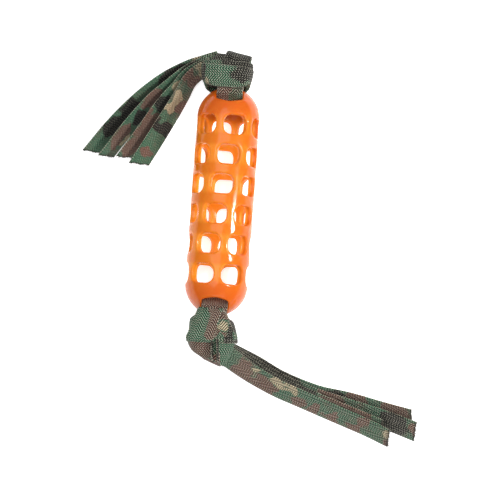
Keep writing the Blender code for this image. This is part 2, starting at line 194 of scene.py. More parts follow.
# Straps across a knot: stations (one edge's x, y, z, the other edge's x, y, z), mm.
HEAD_CROSSINGS = {
    "head_knot_end_fold": ((-9, 127, 47, 15, 128, 48), (-8, 139.5, 48, 17, 137.5, 48.5),
                           (-6.5, 147, 44.5, 18.5, 143, 44), (-5, 151.5, 33, 19.5, 146.5, 33),
                           (-6.5, 147, 19, 18.5, 143, 19), (-8, 139.5, 15, 17, 137.5, 14.5),
                           (-9, 127, 16, 15, 128, 15)),
}
FOOT_STRAPS = {
    "foot_knot_right_strap": ((-12, -106, 54, 10, -106, 53), (-8, -116, 54, 13.5, -115, 52.5),
                              (-4, -127, 53.3, 19, -126, 51), (-2, -136, 52, 22.5, -134.5, 49),
                              (-1.5, -139.5, 49, 22.5, -137.5, 46), (-1, -138, 45, 20, -136, 43)),
    "foot_knot_left_strap": ((-15, -105.5, 56, 9, -106.5, 57), (-18.5, -116, 55.5, 6, -116, 57),
                             (-22, -127, 54, 3.5, -128, 56), (-25.5, -136.5, 51.5, 1, -138.5, 54),
                             (-25, -140, 48, 1, -141.5, 51), (-22, -138.5, 45, 1, -140, 48)),
}
FOOT_CROSSINGS = {
    "foot_knot_end_fold": ((-14, -144, 46, 8, -147, 47), (-12, -153, 43.5, 9, -160, 45),
                           (-8, -158, 32, 10, -164.5, 32), (-12, -153, 20, 9, -160, 18.5),
                           (-14, -144, 17, 8, -147, 16)),
    "foot_knot_fold_1": ((2.6, -138, 41, -0.8, -138, 54.5), (2.8, -147, 39, -0.4, -147, 54),
                         (3.6, -155, 35, 0.6, -155, 51), (5, -160.5, 31, 2.4, -160.5, 45)),
    "foot_knot_fold_2": ((8.2, -138, 41, 4.8, -138, 55), (8.4, -147, 39, 5.2, -147, 54.5),
                         (9, -156, 35, 6.2, -156, 51.5), (10, -162, 31, 7.6, -162, 45)),
}

STRAP_EDGES = {"bumper_body": [], "head_webbing": [], "foot_webbing": []}
CUT_ENDS = {"head_webbing": [], "foot_webbing": []}


# Settings ---------------------------------------------------------------------


class RubberSettings(bpy.types.PropertyGroup):
    """Sizes and colours of the rubber body."""

    wall: bpy.props.FloatProperty(
        name="Wall", description="Thickness of the rubber", default=0.0068, unit="LENGTH")
    ring_pitch: bpy.props.FloatProperty(
        name="Ring pitch", description="Distance between two rings of holes", default=0.0296, unit="LENGTH")
    ring_twist: bpy.props.FloatProperty(
        name="Ring twist", description="Turn from one ring to the next", subtype="ANGLE",
        default=math.radians(8.85))
    rim: bpy.props.FloatProperty(
        name="Rim", description="How far a hole's rim is rounded", default=0.0030, unit="LENGTH")
    colour: bpy.props.StringProperty(
        name="Rubber", description="sRGB colour of the rubber", default="#CB6C12")
    # The deep colour is the thicker rubber's colour and also painted shade on the domes and the +X side.
    deep_and_shade_colour: bpy.props.StringProperty(
        name="Deep rubber", description="sRGB colour where more rubber is in the way", default="#C0560F")
    # The pale colour below is painted glow: used on the inner walls, along the rows of holes and as the
    # emitted colour.
    painted_glow_colour: bpy.props.StringProperty(
        name="Inner wall", description="sRGB colour of the wall seen from inside", default="#E08B28")


class WebbingSettings(bpy.types.PropertyGroup):
    """Sizes and colours of the webbing."""

    width: bpy.props.FloatProperty(
        name="Width", description="Width of the strap", default=0.025, unit="LENGTH")
    thickness: bpy.props.FloatProperty(
        name="Thickness", description="Thickness of the strap", default=0.0016, unit="LENGTH")
    thread: bpy.props.FloatProperty(
        name="Thread spacing", description="Distance between two ridges of the weave",
        default=0.0026, unit="LENGTH")
    green: bpy.props.StringProperty(name="Green", description="sRGB green of the print", default="#3E654D")
    brown: bpy.props.StringProperty(name="Brown", description="sRGB brown of the print", default="#6A5044")
    tan: bpy.props.StringProperty(name="Tan", description="sRGB tan of the print", default="#A89A7C")
    black: bpy.props.StringProperty(name="Black", description="sRGB black of the print", default="#161712")


class StageSettings(bpy.types.PropertyGroup):
    """Camera."""

    distance: bpy.props.FloatProperty(
        name="Camera distance", description="From the camera to the bumper", default=1.5, unit="LENGTH")
    tilt: bpy.props.FloatProperty(
        name="Camera tilt", description="Lean of the camera towards the foot end", default=math.radians(3.5),
        subtype="ANGLE")
    roll: bpy.props.FloatProperty(
        name="Camera roll", description="Turn of the picture", default=math.radians(4.03), subtype="ANGLE")


# Small tools ------------------------------------------------------------------


def linear(hex_code):
    """The linear colour of an sRGB hex code, as a socket holds it."""
    parts = [int(hex_code[i:i + 2], 16) / 255 for i in (1, 3, 5)]
    return (*[c / 12.92 if c <= 0.04045 else ((c + 0.055) / 1.055) ** 2.4 for c in parts], 1.0)


def add(tree, kind, *values, **settings):
    """Adds a node with its settings and gives its first output. A kind in capitals is an operation
    of the maths node. Each value is set on, or linked to, the next input in use; None leaves that
    input alone."""
    if kind.isupper():
        kind, settings["operation"] = "ShaderNodeMath", kind
    node = tree.nodes.new(kind)
    for name, value in settings.items():
        setattr(node, name, value)
    for socket, value in zip([s for s in node.inputs if s.enabled], values):
        if isinstance(value, bpy.types.NodeSocket):
            tree.links.new(value, socket)
        elif value is not None:
            socket.default_value = value
    return next((s for s in node.outputs if s.enabled), node)


def new_material(name):
    """An empty material with its shader: (material, node tree, shader's inputs)."""
    material = bpy.data.materials.new(name)
    material.use_nodes = True
    tree = material.node_tree
    return material, tree, tree.nodes["Principled BSDF"].inputs


def new_object(name, mesh, *materials):
    obj = bpy.data.objects.new(name, mesh)
    bpy.context.scene.collection.objects.link(obj)
    for material in materials:
        mesh.materials.append(material)
    return obj


def grown_by(name, source, tree, values):
    """Runs a geometry tree on source and gives the result as a plain mesh object."""
    modifier = source.modifiers.new(name, "NODES")
    modifier.node_group = tree
    for item in tree.interface.items_tree:
        if item.item_type == "SOCKET" and item.in_out == "INPUT" and item.name in values:
            modifier[item.identifier] = values[item.name]
    source.update_tag()
    depsgraph = bpy.context.evaluated_depsgraph_get()
    mesh = bpy.data.meshes.new_from_object(source.evaluated_get(depsgraph))
    if not mesh.polygons:
        raise RuntimeError(f"{name} came out empty")
    mesh.name = name
    old = source.data
    bpy.data.objects.remove(source)
    bpy.data.meshes.remove(old)
    return new_object(name, mesh)


def tree_with(name, numbers, others=()):
    """A geometry tree with named inputs: (tree, inputs by name, the output node)."""
    tree = bpy.data.node_groups.new(name, "GeometryNodeTree")
    for label, kind in others:  # the source's geometry comes in by the first input
        tree.interface.new_socket(name=label, in_out="INPUT", socket_type=kind)
    for label in numbers:
        tree.interface.new_socket(name=label, in_out="INPUT", socket_type="NodeSocketFloat")
    tree.interface.new_socket(name="Mesh", in_out="OUTPUT", socket_type="NodeSocketGeometry")
    inputs = tree.nodes.new("NodeGroupInput").outputs
    return tree, {s.name: s for s in inputs if s.name}, tree.nodes.new("NodeGroupOutput")


def smooth_through(stations, samples):
    """Catmull-Rom curve through the stations; each station is a tuple of numbers."""
    points = [Vector(s) for s in stations]
    points = [2 * points[0] - points[1]] + points + [2 * points[-1] - points[-2]]
    spans = len(points) - 3
    curve = []
    for k in range(samples + 1):
        place = min(k * spans / samples, spans - 1e-9)
        i = int(place)
        t = place - i
        a, b, c, d = points[i:i + 4]
        curve.append(0.5 * (2 * b + (c - a) * t + (2 * a - 5 * b + 4 * c - d) * t * t
                            + (3 * b - a - 3 * c + d) * t * t * t))
    return curve


# Materials --------------------------------------------------------------------


def clear_rubber(settings):
    """Thermoplastic rubber, injection moulded and clear. Painted glow: the inner walls and the rows of holes
    are painted pale, and the skin emits a little light, for light that soaks through it. Painted shade: the
    domes and the +X side are painted a deeper red, and patches of thicker and thinner rubber deepen or pale
    it at random. Its skin is glossy, with faint flow ripples."""
    material, tree, shader = new_material("moulded_clear_tpr")
    place = add(tree, "ShaderNodeTexCoord").node.outputs["Object"]
    axes = add(tree, "ShaderNodeSeparateXYZ", place).node.outputs
    across = axes["X"]
    depth = add(tree, "SUBTRACT", axes["Z"], AXIS_HEIGHT)
    squares = add(tree, "ADD", add(tree, "POWER", across, 2.0),
                  add(tree, "POWER", depth, 2.0))
    from_axis = add(tree, "SQRT", squares)
    along = add(tree, "ABSOLUTE", axes["Y"])
    # Painted shade: a deeper red on the domes and on the +X side only; the noise below adds thicker and
    # thinner rubber at random.
    dome = add(tree, "ShaderNodeMapRange", along, 0.070, 0.096, 0.0, 1.0, interpolation_type="SMOOTHSTEP")
    side = add(tree, "ShaderNodeMapRange", across, 0.012, 0.031, 0.0, 0.75, interpolation_type="SMOOTHSTEP")
    cloud = add(tree, NOISE, place, None, 75.0, 1.0)  # 13 mm patches of thicker and thinner rubber
    uneven = add(tree, "ShaderNodeMapRange", cloud, 0.38, 0.62, -0.35, 0.45)
    deep = add(tree, "ADD", add(tree, "MAXIMUM", dome, side), uneven,
               use_clamp=True)
    skin = add(tree, MIX, deep, linear(settings.colour), linear(settings.deep_and_shade_colour), data_type="RGBA")
    # Painted light: the rows of holes are painted paler, for light coming through them.
    row = add(tree, "PINGPONG", axes["Y"], settings.ring_pitch / 2)
    row = add(tree, "ShaderNodeMapRange", row, 0.0035, 0.0080, 0.0, 0.5, interpolation_type="SMOOTHSTEP")
    row = add(tree, "MULTIPLY", row, add(tree, "SUBTRACT", 1.0, deep))
    skin = add(tree, MIX, row, skin, linear(settings.painted_glow_colour), data_type="RGBA")  # light from the holes
    # Painted glow: the inner walls, away from the domes, are painted pale.
    inner = add(tree, "ShaderNodeMapRange", from_axis, 0.0252, 0.0285, 1.0, 0.0)
    inner = add(tree, "MULTIPLY", inner, add(tree, "SUBTRACT", 1.0, dome))
    colour = add(tree, MIX, inner, skin, linear(settings.painted_glow_colour), data_type="RGBA")
    tree.links.new(colour, shader["Base Color"])
    # Painted glow: the colour is also emitted, a little everywhere and most on the inner walls.
    tree.links.new(colour, shader["Emission Color"])  # light that has soaked through to the far side
    glow = add(tree, "MULTIPLY_ADD", inner, 0.30, 0.04)
    tree.links.new(glow, shader["Emission Strength"])
    ripple = add(tree, NOISE, place, None, 70.0, 0.0)  # 14 mm flow ripples
    bump = add(tree, "ShaderNodeBump", 0.35, 0.0008, None, ripple)
    tree.links.new(bump, shader["Normal"])
    shader["Roughness"].default_value = 0.11
    shader["IOR"].default_value = 1.32
    shader["Subsurface Weight"].default_value = 0.45
    shader["Subsurface Radius"].default_value = (1.0, 0.36, 0.08)
    shader["Subsurface Scale"].default_value = 0.006
    return material


def printed_webbing(settings):
    """Nylon webbing, woven in a herringbone and printed in woodland camouflage: matt, ridged cloth with
    painted shade between the ridges and painted highlights, pale specks, on the raised threads, and a dark
    cut end."""
    material, tree, shader = new_material("printed_nylon_webbing")
    uv = add(tree, "ShaderNodeUVMap", uv_map="strap")
    print_data = add(tree, "ShaderNodeAttribute", attribute_name="print").node.outputs
    bias = add(tree, "ShaderNodeSeparateColor", print_data["Color"]).node.outputs
    wander = add(tree, NOISE, uv, None, 150.0, 3.0, normalize=True).node.outputs["Color"]
    wander = add(tree, VECTOR, wander, (0.5, 0.5, 0.5), operation="SUBTRACT")
    drift = add(tree, VECTOR, add(tree, VECTOR, wander, (0.016, 0.016, 0.0), operation="MULTIPLY"), uv,
                operation="ADD")  # ragged patch outlines, a few millimetres deep
    colour = linear(settings.green)
    patches = (
        (settings.brown, 3.1, 48.0, 0.54),
        (settings.tan, 7.7, 62.0, 0.64),
        (settings.black, 12.4, 52.0, 0.60),
    )
    for channel, (hex_code, move, size, level) in enumerate(patches):
        moved = add(tree, VECTOR, drift, (move, move, move), operation="ADD")
        patch = add(tree, NOISE, moved, None, size, 1.0)
        patch = add(tree, "ADD", patch, bias[channel])
        mask = add(tree, "ShaderNodeMapRange", patch, level - 0.012, level + 0.012, 0.0, 1.0)
        colour = add(tree, MIX, mask, colour, linear(hex_code), data_type="RGBA")

    # Herringbone: ridges at 45 degrees that turn back every quarter of the width. They are
    # drawn coarser than the real threads, so that they show.
    parts = add(tree, "ShaderNodeSeparateXYZ", uv).node.outputs
    zigzag = add(tree, "PINGPONG", parts["X"], settings.width / 4)
    slant = add(tree, "ADD", parts["Y"], zigzag)
    turn = 2 * math.pi / settings.thread
    ridge = add(tree, "SINE", add(tree, "MULTIPLY", slant, turn))
    warp = add(tree, "SINE", add(tree, "MULTIPLY", parts["X"], turn * 1.2))
    knuckle = add(tree, "ADD", add(tree, "MULTIPLY", ridge, 0.78),
                  add(tree, "MULTIPLY", warp, 0.22))
    # Painted light and shade: the print is darkened between the ridges and lightened on them.
    shade = add(tree, "ShaderNodeMapRange", ridge, -0.6, 0.6, -0.95, 0.60)
    place = add(tree, "ShaderNodeSeparateXYZ", add(tree, "ShaderNodeTexCoord").node.outputs["Object"]).node
    # Weaker painted weave shade and highlights on the head's fanned tails, where X is below -36 mm.
    painted_weave_strength = add(tree, "ShaderNodeMapRange", place.outputs["X"], -0.058, -0.036, 0.35, 1.0)
    shade = add(tree, "MULTIPLY_ADD", shade, painted_weave_strength, 1.0)
    shaded = add(tree, VECTOR, colour, shade, operation="SCALE")
    # Painted highlights: pale specks on the raised threads, broken up by noise.
    fleck_breakup = add(tree, NOISE, uv, None, 900.0, 1.0)
    fleck = add(tree, "MULTIPLY", knuckle, fleck_breakup)
    fleck = add(tree, "ShaderNodeMapRange", fleck, 0.28, 0.46, 0.0, 0.72)
    fleck = add(tree, "MULTIPLY", fleck, painted_weave_strength)
    speckled = add(tree, MIX, fleck, shaded, linear("#C4BFAE"), data_type="RGBA")
    # Darkened by the print attribute's alpha: a strap's cut end, and painted shade on the knot core.
    finished = add(tree, MIX, add(tree, "MULTIPLY", print_data["Alpha"], 0.85), speckled,
                   linear("#1E1B17"), data_type="RGBA")
    tree.links.new(finished, shader["Base Color"])
    bump = add(tree, "ShaderNodeBump", 0.9, 0.0007, None, knuckle)
    tree.links.new(bump, shader["Normal"])
    shader["Roughness"].default_value = 0.78
    shader["IOR"].default_value = 1.53
    shader["Specular IOR Level"].default_value = 0.2
    return material


def nylon_thread(name, hex_code, dark_hex_code):
    """Spun nylon thread: a little silky, and uneven in colour from thread to thread."""
    material, tree, shader = new_material(name)
    place = add(tree, "ShaderNodeTexCoord").node.outputs["Object"]
    cloud = add(tree, NOISE, place, None, 140.0, 2.0)
    share = add(tree, "ShaderNodeMapRange", cloud, 0.40, 0.60, 0.0, 1.0)
    colour = add(tree, MIX, share, linear(dark_hex_code), linear(hex_code), data_type="RGBA")
    tree.links.new(colour, shader["Base Color"])
    shader["Roughness"].default_value = 0.6
    return material


def pale_board():
    """Matt white board: plain and pale, lit a little from beneath as a light table is."""
    material, tree, shader = new_material("matt_white_board")
    shader["Base Color"].default_value = linear("#F6F6F6")
    shader["Roughness"].default_value = 0.9
    shader["Emission Color"].default_value = linear("#FFFFFF")
    place = add(tree, "ShaderNodeTexCoord").node.outputs["Object"]
    away = add(tree, VECTOR, place, operation="LENGTH")
    tree.links.new(add(tree, "ShaderNodeMapRange", away, 0.5, 1.6, 0.62, 0.05), shader["Emission Strength"])
    return material


# Rubber body ------------------------------------------------------------------


def rounded_rectangle(tree, x, y, half_x, half_y, corner):
    """Distance from a rectangle with round corners, less than nothing inside it."""
    over = [add(tree, "SUBTRACT", add(tree, "ABSOLUTE", distance),
                add(tree, "SUBTRACT", half, corner))
            for distance, half in ((x, half_x), (y, half_y))]
    outside = add(tree, "ShaderNodeCombineXYZ", *[add(tree, "MAXIMUM", o, 0.0) for o in over])
    outside = add(tree, VECTOR, outside, operation="LENGTH")
    inside = add(tree, "MINIMUM", add(tree, "MAXIMUM", *over), 0.0)
    return add(tree, "SUBTRACT", add(tree, "ADD", outside, inside), corner)


def capsule_tree():
    """The rubber as a distance field: a capsule's wall, less six rings of soft-cornered holes
    and a slot through each dome, with every rim rounded."""
    tree, size, output = tree_with(
        "perforated_capsule",
        ("Radius mm", "Wall mm", "Dome centre mm", "Ring pitch mm", "Ring twist", "First ring angle",
         "Rim mm", "Rib mm", "Web mm", "Voxel mm"),
        (("Rubber", "NodeSocketMaterial"),))
    place = add(tree, "GeometryNodeInputPosition")
    place = add(tree, VECTOR, place, (0.0, 0.0, AXIS_HEIGHT), operation="SUBTRACT")
    axes = add(tree, "ShaderNodeSeparateXYZ", add(tree, VECTOR, place, (1 / MM,) * 3, operation="MULTIPLY"))
    x, y, z = axes.node.outputs

    # Wall of the capsule
    low = add(tree, "MULTIPLY", size["Dome centre mm"], -1.0)
    spine = add(tree, "ShaderNodeClamp", y, low, size["Dome centre mm"])
    beyond = add(tree, "SUBTRACT", y, spine)
    reach = add(tree, VECTOR, add(tree, "ShaderNodeCombineXYZ", x, beyond, z), operation="LENGTH")
    half_wall = add(tree, "MULTIPLY", size["Wall mm"], 0.5)
    middle = add(tree, "SUBTRACT", size["Radius mm"], half_wall)
    wall = add(tree, "ABSOLUTE", add(tree, "SUBTRACT", reach, middle))
    wall = add(tree, "SUBTRACT", wall, half_wall)

    # Rings of holes: every point looks only at the hole nearest to it
    ring = add(tree, "DIVIDE", y, size["Ring pitch mm"])
    ring = add(tree, "ROUND", add(tree, "ADD", ring, (RINGS - 1) / 2))
    ring = add(tree, "ShaderNodeClamp", ring, 0.0, RINGS - 1)
    ring_y = add(tree, "MULTIPLY", add(tree, "SUBTRACT", ring, (RINGS - 1) / 2), size["Ring pitch mm"])
    up = add(tree, "SUBTRACT", y, ring_y)
    turned = add(tree, "MULTIPLY_ADD", ring, size["Ring twist"], size["First ring angle"])
    angle = add(tree, "SUBTRACT", add(tree, "ARCTAN2", x, z), turned)
    angle = add(tree, "WRAP", angle, math.pi / HOLES_ROUND, -math.pi / HOLES_ROUND)
    side = add(tree, "MULTIPLY", angle, size["Radius mm"])
    pitch_round = add(tree, "MULTIPLY", size["Radius mm"], 2 * math.pi / HOLES_ROUND)
    half_side = add(tree, "MULTIPLY", add(tree, "SUBTRACT", pitch_round, size["Rib mm"]), 0.5)
    half_up = add(tree, "MULTIPLY", add(tree, "SUBTRACT", size["Ring pitch mm"], size["Web mm"]), 0.5)
    hole = rounded_rectangle(tree, side, up, half_side, half_up, HOLE_CORNER_MM)
    solid = add(tree, "MULTIPLY", hole, -1.0)
    field = add(tree, "SMOOTH_MAX", wall, solid, size["Rim mm"])

    # Strap slots: rounded rectangles, straight through along Z, whose near edge is bowed
    slot_middle = add(tree, "ADD", size["Dome centre mm"], SLOT_MIDDLE_MM)
    slot_y = add(tree, "SUBTRACT", add(tree, "ABSOLUTE", y), slot_middle)
    bow = add(tree, "POWER", add(tree, "DIVIDE", x, SLOT_BOW_SPAN_MM), 2.0)
    bow = add(tree, "MULTIPLY_ADD", bow, SLOT_BOW, 1.0)
    near = add(tree, "MULTIPLY", add(tree, "MINIMUM", slot_y, 0.0), bow)
    slot_y = add(tree, "ADD", near, add(tree, "MAXIMUM", slot_y, 0.0))
    slot = rounded_rectangle(tree, x, slot_y, *SLOT_HALF_MM, SLOT_CORNER_MM)
    slot = add(tree, "MULTIPLY", slot, -1.0)
    field = add(tree, "SMOOTH_MAX", field, slot, SLOT_RIM_MM)

    # Solid where the field is negative
    density = add(tree, "SUBTRACT", FIELD_LEVEL, field)
    edge = (RADIUS_MM + FIELD_MARGIN_MM) * MM
    end = RUBBER_HIGH.y + FIELD_MARGIN_MM * MM
    corner_low, corner_high = (-edge, -end, AXIS_HEIGHT - edge), (edge, end, AXIS_HEIGHT + edge)
    box = add(tree, "GeometryNodeVolumeCube", density, 0.0, corner_low, corner_high).node
    for name, span in (("Resolution X", 2 * edge), ("Resolution Y", 2 * end), ("Resolution Z", 2 * edge)):
        count = add(tree, "DIVIDE", span / MM, size["Voxel mm"])
        tree.links.new(count, box.inputs[name])
    skin = add(tree, "GeometryNodeVolumeToMesh", box.outputs[0])
    skin.node.inputs["Threshold"].default_value = FIELD_LEVEL
    skin = add(tree, "GeometryNodeSetShadeSmooth", skin)
    skin = add(tree, "GeometryNodeRealizeInstances", skin)
    skin = add(tree, "GeometryNodeSetMaterial", skin, None, size["Rubber"])
    tree.links.new(skin, output.inputs["Mesh"])
    return tree


def make_rubber_body(settings):
    source = new_object("capsule_source", bpy.data.meshes.new("capsule_source"))
    body = grown_by("rubber_capsule", source, capsule_tree(), {
        "Radius mm": RADIUS_MM, "Wall mm": settings.wall / MM, "Dome centre mm": DOME_MM,
        "Ring pitch mm": settings.ring_pitch / MM, "Ring twist": settings.ring_twist,
        "First ring angle": FIRST_RING_ANGLE, "Rim mm": settings.rim / MM, "Rib mm": RIB_MM,
        "Web mm": WEB_MM, "Voxel mm": VOXEL_MM,
        "Rubber": clear_rubber(settings)})
    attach(body, "bumper_body")
    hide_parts("rubber_body")


# Straps -----------------------------------------------------------------------


def print_at(patches, along, across):
    """The print's leanings at a point of a strap, as (brown, tan, black)."""
    leanings = [0.0, 0.0, 0.0]
    wander = noise.noise_vector(Vector((along * 0.11, across * 0.11, 7.3))) * 7.0
    along, across = along + wander.x, across + wander.y
    for centre, middle, half_length, half_width, colour in patches:
        away = ((along - centre) / half_length) ** 2 + ((across - middle) / half_width) ** 2
        pull = 0.34 * math.exp(-away ** 2)
        for channel in range(3):
            leanings[channel] += pull if colour == channel else -pull
    return leanings


def webbing_piece(name, verts, faces, place_of, print_of, body, replaced):
    """A piece in printed webbing: place_of(face, vertex) is its place on the cloth, in metres, and
    print_of(vertex) is its print's leanings and its nearness to a cut end."""
    mesh = bpy.data.meshes.new(name)
    mesh.from_pydata([tuple(v) for v in verts], [], faces)
    mesh.polygons.foreach_set("use_smooth", [True] * len(faces))
    uv = mesh.uv_layers.new(name="strap")
    for face in mesh.polygons:
        for loop in face.loop_indices:
            uv.data[loop].uv = place_of(face, mesh.loops[loop].vertex_index)
    tint = mesh.color_attributes.new("print", "FLOAT_COLOR", "POINT")
    for vertex, item in enumerate(tint.data):
        item.color = print_of(vertex)
    mesh.validate()
    mesh.update()
    obj = new_object(name, mesh, bpy.data.materials["printed_nylon_webbing"])
    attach(obj, body)
    if replaced:
        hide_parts(*replaced)
    return obj


def strap(name, rows, body, stage_of_print, closed=False, cut=False, replaced=()):
    """A woven strap with rounded edges, on rows of points across its middle surface."""
    settings = bpy.context.scene.bumper_webbing
    half = settings.thickness / 2
    count, wide = len(rows), len(rows[0])
    if cut:
        rng = random.Random(name)
        last = (rows[-1][0] - rows[-2][0]).normalized()
        rows[-1] = [p + last * rng.uniform(-0.9, 0.7) * MM for p in rows[-1]]
    travel = [0.0]
    middle = wide // 2
    for i in range(1, count):
        travel.append(travel[-1] + (rows[i][middle] - rows[i - 1][middle]).length)
    around = travel[-1] + (rows[0][middle] - rows[-1][middle]).length
    verts, places = [], []
    for i, row in enumerate(rows):
        after = rows[(i + 1) % count] if closed or i + 1 < count else row
        before = rows[i - 1] if closed or i else row
        crosses = [(row[min(j + 1, wide - 1)] - row[max(j - 1, 0)]).normalized() for j in range(wide)]
        normals = [(after[j] - before[j]).cross(crosses[j]).normalized() for j in range(wide)]
        inset = [row[0] + crosses[0] * half, *row[1:-1], row[-1] - crosses[-1] * half]
        verts += [p + n * half for p, n in zip(inset, normals)]
        for turn in EDGE_TURNS:
            verts.append(inset[-1] + (normals[-1] * math.cos(turn) + crosses[-1] * math.sin(turn)) * half)
        verts += [p - n * half for p, n in zip(reversed(inset), reversed(normals))]
        verts += [inset[0] + (normals[0] * math.cos(a) - crosses[0] * math.sin(a)) * half
                  for a in reversed(EDGE_TURNS)]
        full = sum((row[j + 1] - row[j]).length for j in range(wide - 1))
        spread = [full * j / (wide - 1) for j in range(wide)]
        places += [(s, travel[i]) for s in (*spread, full, full, full, *reversed(spread), 0.0, 0.0, 0.0)]
    size = len(verts) // count
    faces = []
    for i in range(count if closed else count - 1):
        k = (i + 1) % count
        for j in range(size):
            m = (j + 1) % size
            faces.append((i * size + j, i * size + m, k * size + m, k * size + j))
    if not closed:
        for start, flip in ((0, True), ((count - 1) * size, False)):
            bottom = 2 * wide + 2
            caps = [(start + j, start + j + 1, start + bottom - j - 1, start + bottom - j)
                    for j in range(wide - 1)]
            caps.append(tuple(start + j for j in range(wide - 1, wide + 4)))
            caps.append(tuple(start + j % size for j in range(size - 4, size + 1)))
            faces += [tuple(reversed(f)) for f in caps] if flip else caps

    def place_on_strap(face, vertex):
        seam = closed and max(face.vertices) >= (count - 1) * size and min(face.vertices) < size
        across, along = places[vertex]
        return across, (around if seam and vertex < size else along) + stage_of_print

    def print_on_strap(vertex):
        across, along = places[vertex]
        end = max(0.0, 1 - (travel[-1] - along) / CUT_DARKENS) if cut else 0.0
        if name in KNOT_TOP_PRINT_AND_SHADE:
            x, y, z = verts[vertex] / MM
            return *print_at(KNOT_TOP_PRINT_AND_SHADE[name] if z > AXIS_MM else (), x, y), end
        return *print_at(STRAP_PRINT_AND_SHADE.get(name, ()), along / MM, across / MM), end

    obj = webbing_piece(name, verts, faces, place_on_strap, print_on_strap, body, replaced)
    STRAP_EDGES[body] += [([row[side] for row in rows], closed) for side in (0, -1)]
    if cut:
        CUT_ENDS[body].append((rows[-1], (rows[-1][0] - rows[-3][0]).normalized()))


def frame_at(direction, side, lean):
    """Width and thickness directions of a strap: a lean of 90 degrees stands on edge."""
    normal = Vector((-direction.y, direction.x, 0.0)) * side
    angle = math.radians(lean)
    width = normal * math.cos(angle) + Vector((0.0, 0.0, math.sin(angle)))
    thickness = normal * math.sin(angle) - Vector((0.0, 0.0, math.cos(angle)))
    return width, thickness


def tail_rows(exit_at, own, rank, side, cut_mm, samples=84):
    """Rows across a tail, from inside its knot to its slanted cut."""
    (x, y, low, lean), heading = exit_at
    heading = Vector((*heading, 0.0)).normalized()
    _, thickness = frame_at(heading, side, lean)
    start = Vector((x, y, low)) + thickness * rank * TAIL_STACK_MM
    tucked = start - heading * TAIL_TUCK_MM
    curve = smooth_through([(*tucked, lean), (*start, lean), *own], samples)
    half = bpy.context.scene.bumper_webbing.width / 2
    rows = []
    for k, point in enumerate(curve):
        ahead = curve[min(k + 1, samples)] - curve[max(k - 1, 0)]
        direction = Vector((ahead[0], ahead[1], 0.0)).normalized()
        width, lift = frame_at(direction, side, point[3])
        rise = half * math.sin(math.radians(point[3]))
        centre = Vector(point[:3]) * MM + Vector((0.0, 0.0, rise))
        slant = direction * (cut_mm * MM / 2) * (k / samples) ** 3
        row = []
        for j in range(ACROSS + 1):
            share = 2 * j / ACROSS - 1
            cup = 0.5 * MM * (1 - share * share) * min(1.0, k / 20)
            row.append(centre + (width * half + slant) * share - lift * cup)
        rows.append(row)
    return rows


def make_tails(end_name, exit_at, all_own, side, cut_mm):
    for number, own in enumerate(all_own):
        rank = number - (len(all_own) - 1) / 2
        name = f"{end_name}_tail_{number + 1}"
        strap(f"{name}_strap", tail_rows(exit_at, own, rank, side, cut_mm), f"{end_name}_webbing",
              0.31 * (number + 1) + (1.7 if end_name == "foot" else 0.0), cut=True,
              replaced=[name])


def loop_outline(layer, thickness_mm):
    """Closed path of a strap round the bridge, as (distance from the dome's centre, height), mm."""
    pitch = thickness_mm + LAYER_GAP_MM
    rise = LAYER_GAP_MM + thickness_mm / 2 + layer * pitch
    edge_angle = math.acos(SLOT_FAR_MM / RADIUS_MM)
    edge = (SLOT_FAR_MM, RADIUS_MM * math.sin(edge_angle))
    bend = LOOP_BEND_MM + layer * pitch
    bottom = (LOOP_DEPTH_MM + LOOP_BEND_MM, 0.0)
    reach = math.hypot(edge[0] - bottom[0], edge[1])
    slope = math.atan2(edge[1], edge[0] - bottom[0]) - math.asin((bend - rise) / reach) + math.pi / 2
    half = []
    for centre, radius, start, stop, steps in (
            ((0.0, 0.0), RADIUS_MM + rise, 0.0, edge_angle, 14),
            (edge, rise, edge_angle, slope, 10),
            (bottom, bend, slope, math.pi, 12)):
        for i in range(steps + 1):
            a = start + (stop - start) * i / steps
            half.append((centre[0] + radius * math.cos(a), centre[1] + radius * math.sin(a)))
    clean = [half[0]]
    for point in half[1:]:
        if math.dist(point, clean[-1]) > 0.05:
            clean.append(point)
    return clean + [(y, -z) for y, z in reversed(clean[1:-1])]


def make_loops(end_name, end):
    settings = bpy.context.scene.bumper_webbing
    half = settings.width / 2
    for layer, label in enumerate(("inner", "outer")):
        rows = []
        for out, height in loop_outline(layer, settings.thickness / MM):
            y, z = end * (DOME_MM + out) * MM, (AXIS_MM + height) * MM
            rows.append([Vector((half * (2 * j / ACROSS - 1), y, z)) for j in range(ACROSS + 1)])
        if end < 0:
            rows.reverse()
        print_start = 0.57 * (layer + 1) + (0.9 if end < 0 else 0.0)
        strap(f"{end_name}_strap_{label}", rows, "bumper_body", print_start,
              closed=True, replaced=[f"{end_name}_loop_{label}"])


# Knots ------------------------------------------------------------------------


SQUARENESS, HEAD_SQUARENESS = 3.0, 5.0  # of a wrap's section: 2 is an ellipse


def clear_of_dome(point, end):
    """Moves a point of a knot out to the cylinder that the knot swings round on, where it is inside."""
    out = Vector((point.y - end * DOME_MM, point.z - AXIS_MM))
    if out.length < SWING_CLEARANCE_MM:
        out = out.normalized() * SWING_CLEARANCE_MM
        return Vector((point.x, end * DOME_MM + out.x, AXIS_MM + out.y))
    return point


def pulled(point, end, amount=0.7):
    """Uneven pull in a knot: a few tenths of a millimetre in and out, then clear of the dome."""
    shift = noise.noise_vector(point * 0.09) * amount
    return clear_of_dome(point + shift, end) * MM


def rounded_section(middle_x, half_width, half_depth, turn, squareness=SQUARENESS):
    c, s = math.cos(turn), math.sin(turn)
    x = middle_x + half_width * math.copysign(abs(c) ** (2 / squareness), c)
    z = AXIS_MM + half_depth * math.copysign(abs(s) ** (2 / squareness), s)
    return x, z


